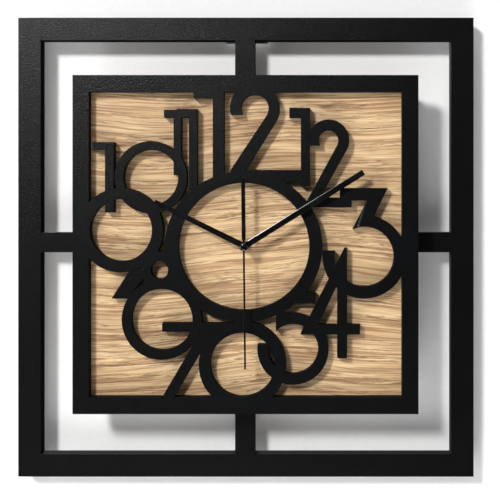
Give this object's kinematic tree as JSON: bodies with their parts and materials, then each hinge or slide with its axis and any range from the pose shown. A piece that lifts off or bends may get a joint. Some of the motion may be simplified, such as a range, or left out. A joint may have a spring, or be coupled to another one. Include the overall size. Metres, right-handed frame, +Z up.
{
  "type": "wall clock",
  "caption": "Square analogue wall clock with a wooden dial panel behind a cut-out numeral plate, held in a larger open square frame with cross arms.",
  "frame": {"origin": "on the wall at the hook, in the keyhole of the hanger plate behind the middle of the frame's top member", "axes": "+X to the viewer's right, +Y into the wall, +Z up; the dial faces -Y"},
  "size_m": [0.498, 0.0676, 0.502],
  "materials": {
    "frame_black": "fine textured matt black paint on fibreboard",
    "plate_black": "fine textured matt black paint on fibreboard",
    "rail_black": "black stained softwood",
    "oak": "light oak veneer, horizontal grain, satin",
    "hand_black": "satin black enamel",
    "cap_black": "gloss black",
    "brass": "turned",
    "steel": "zinc plated",
    "nut_dark": "dark nickel plated",
    "rubber": "matt",
    "case_plastic": "fine moulded texture",
    "gear_plastic": "natural acetal",
    "magnet": "sintered ferrite",
    "motor_iron": "stamped silicon steel",
    "copper": "enamelled copper wire",
    "board": "green solder mask",
    "chip": "black epoxy",
    "cell": "printed sleeve over a steel can",
    "nickel": "nickel plated spring strip"
  },
  "bodies": {
    "clock_body": {"outer_frame": "frame_black", "numeral_plate": "plate_black", "oak_panel": "oak", "box_rail_top": "rail_black", "box_rail_bottom": "rail_black", "box_rail_left": "rail_black", "box_rail_right": "rail_black", "frame_screw_1": "steel", "frame_screw_2": "steel", "frame_screw_3": "steel", "frame_screw_4": "steel", "keyhole_hanger": "steel", "hanger_screw_left": "steel", "hanger_screw_right": "steel", "wall_bumper_1": "rubber", "wall_bumper_2": "rubber", "wall_bumper_3": "rubber", "wall_bumper_4": "rubber", "shaft_nut": "nut_dark", "shaft_washer": "nut_dark", "rubber_washer": "rubber", "movement_case": "case_plastic", "movement_cover": "case_plastic", "train_plate": "gear_plastic", "stator": "motor_iron", "coil_bobbin": "gear_plastic", "coil_winding": "copper", "circuit_board": "board", "timer_chip": "chip", "quartz_crystal": "steel", "positive_contact": "nickel", "negative_contact": "nickel"},
    "minute_group": {"centre_wheel": "gear_plastic", "minute_hand": "hand_black", "minute_hand_bush": "brass", "minute_hand_nut": "steel"},
    "hour_group": {"hour_wheel": "gear_plastic", "hour_hand": "hand_black", "hour_hand_bush": "brass"},
    "second_group": {"seconds_wheel": "gear_plastic", "second_hand": "hand_black", "second_hand_tube": "brass", "second_hand_cap": "cap_black"},
    "third_group": {"third_wheel": "gear_plastic"},
    "intermediate_group": {"intermediate_wheel": "gear_plastic"},
    "rotor_group": {"rotor_magnet": "magnet", "rotor_pinion": "gear_plastic"},
    "setting_group": {"minute_wheel": "gear_plastic", "setting_knob": "case_plastic"},
    "battery_group": {"battery": "cell"}
  },
  "joints": [
    {"name": "minute_hand_turn", "type": "hinge", "parent": "clock_body", "child": "minute_group", "pos_m": [0.0017, -0.03, -0.2321], "axis": [0, 1, 0], "continuous": true},
    {"name": "hour_hand_turn", "type": "hinge", "parent": "clock_body", "child": "hour_group", "pos_m": [0.0017, -0.03, -0.2321], "axis": [0, 1, 0], "continuous": true},
    {"name": "second_hand_turn", "type": "hinge", "parent": "clock_body", "child": "second_group", "pos_m": [0.0017, -0.03, -0.2321], "axis": [0, 1, 0], "continuous": true},
    {"name": "third_wheel_turn", "type": "hinge", "parent": "clock_body", "child": "third_group", "pos_m": [-0.0073, -0.03, -0.2321], "axis": [0, 1, 0], "continuous": true},
    {"name": "intermediate_wheel_turn", "type": "hinge", "parent": "clock_body", "child": "intermediate_group", "pos_m": [0.00351, -0.03, -0.22534], "axis": [0, 1, 0], "continuous": true},
    {"name": "rotor_turn", "type": "hinge", "parent": "clock_body", "child": "rotor_group", "pos_m": [0.00507, -0.03, -0.21954], "axis": [0, 1, 0], "continuous": true},
    {"name": "setting_knob_turn", "type": "hinge", "parent": "clock_body", "child": "setting_group", "pos_m": [0.0113, -0.03, -0.2321], "axis": [0, 1, 0], "continuous": true},
    {"name": "battery_slide", "type": "slide", "parent": "clock_body", "child": "battery_group", "axis": [0, 1, 0], "range_m": [0, 0.015]}
  ],
  "couplings": [
    {"joint": "hour_hand_turn", "follows": "minute_hand_turn", "ratio": 0.083333},
    {"joint": "second_hand_turn", "follows": "minute_hand_turn", "ratio": 60},
    {"joint": "third_wheel_turn", "follows": "minute_hand_turn", "ratio": -7.5},
    {"joint": "intermediate_wheel_turn", "follows": "minute_hand_turn", "ratio": -360},
    {"joint": "rotor_turn", "follows": "minute_hand_turn", "ratio": 1800},
    {"joint": "setting_knob_turn", "follows": "minute_hand_turn", "ratio": -0.33333}
  ]
}
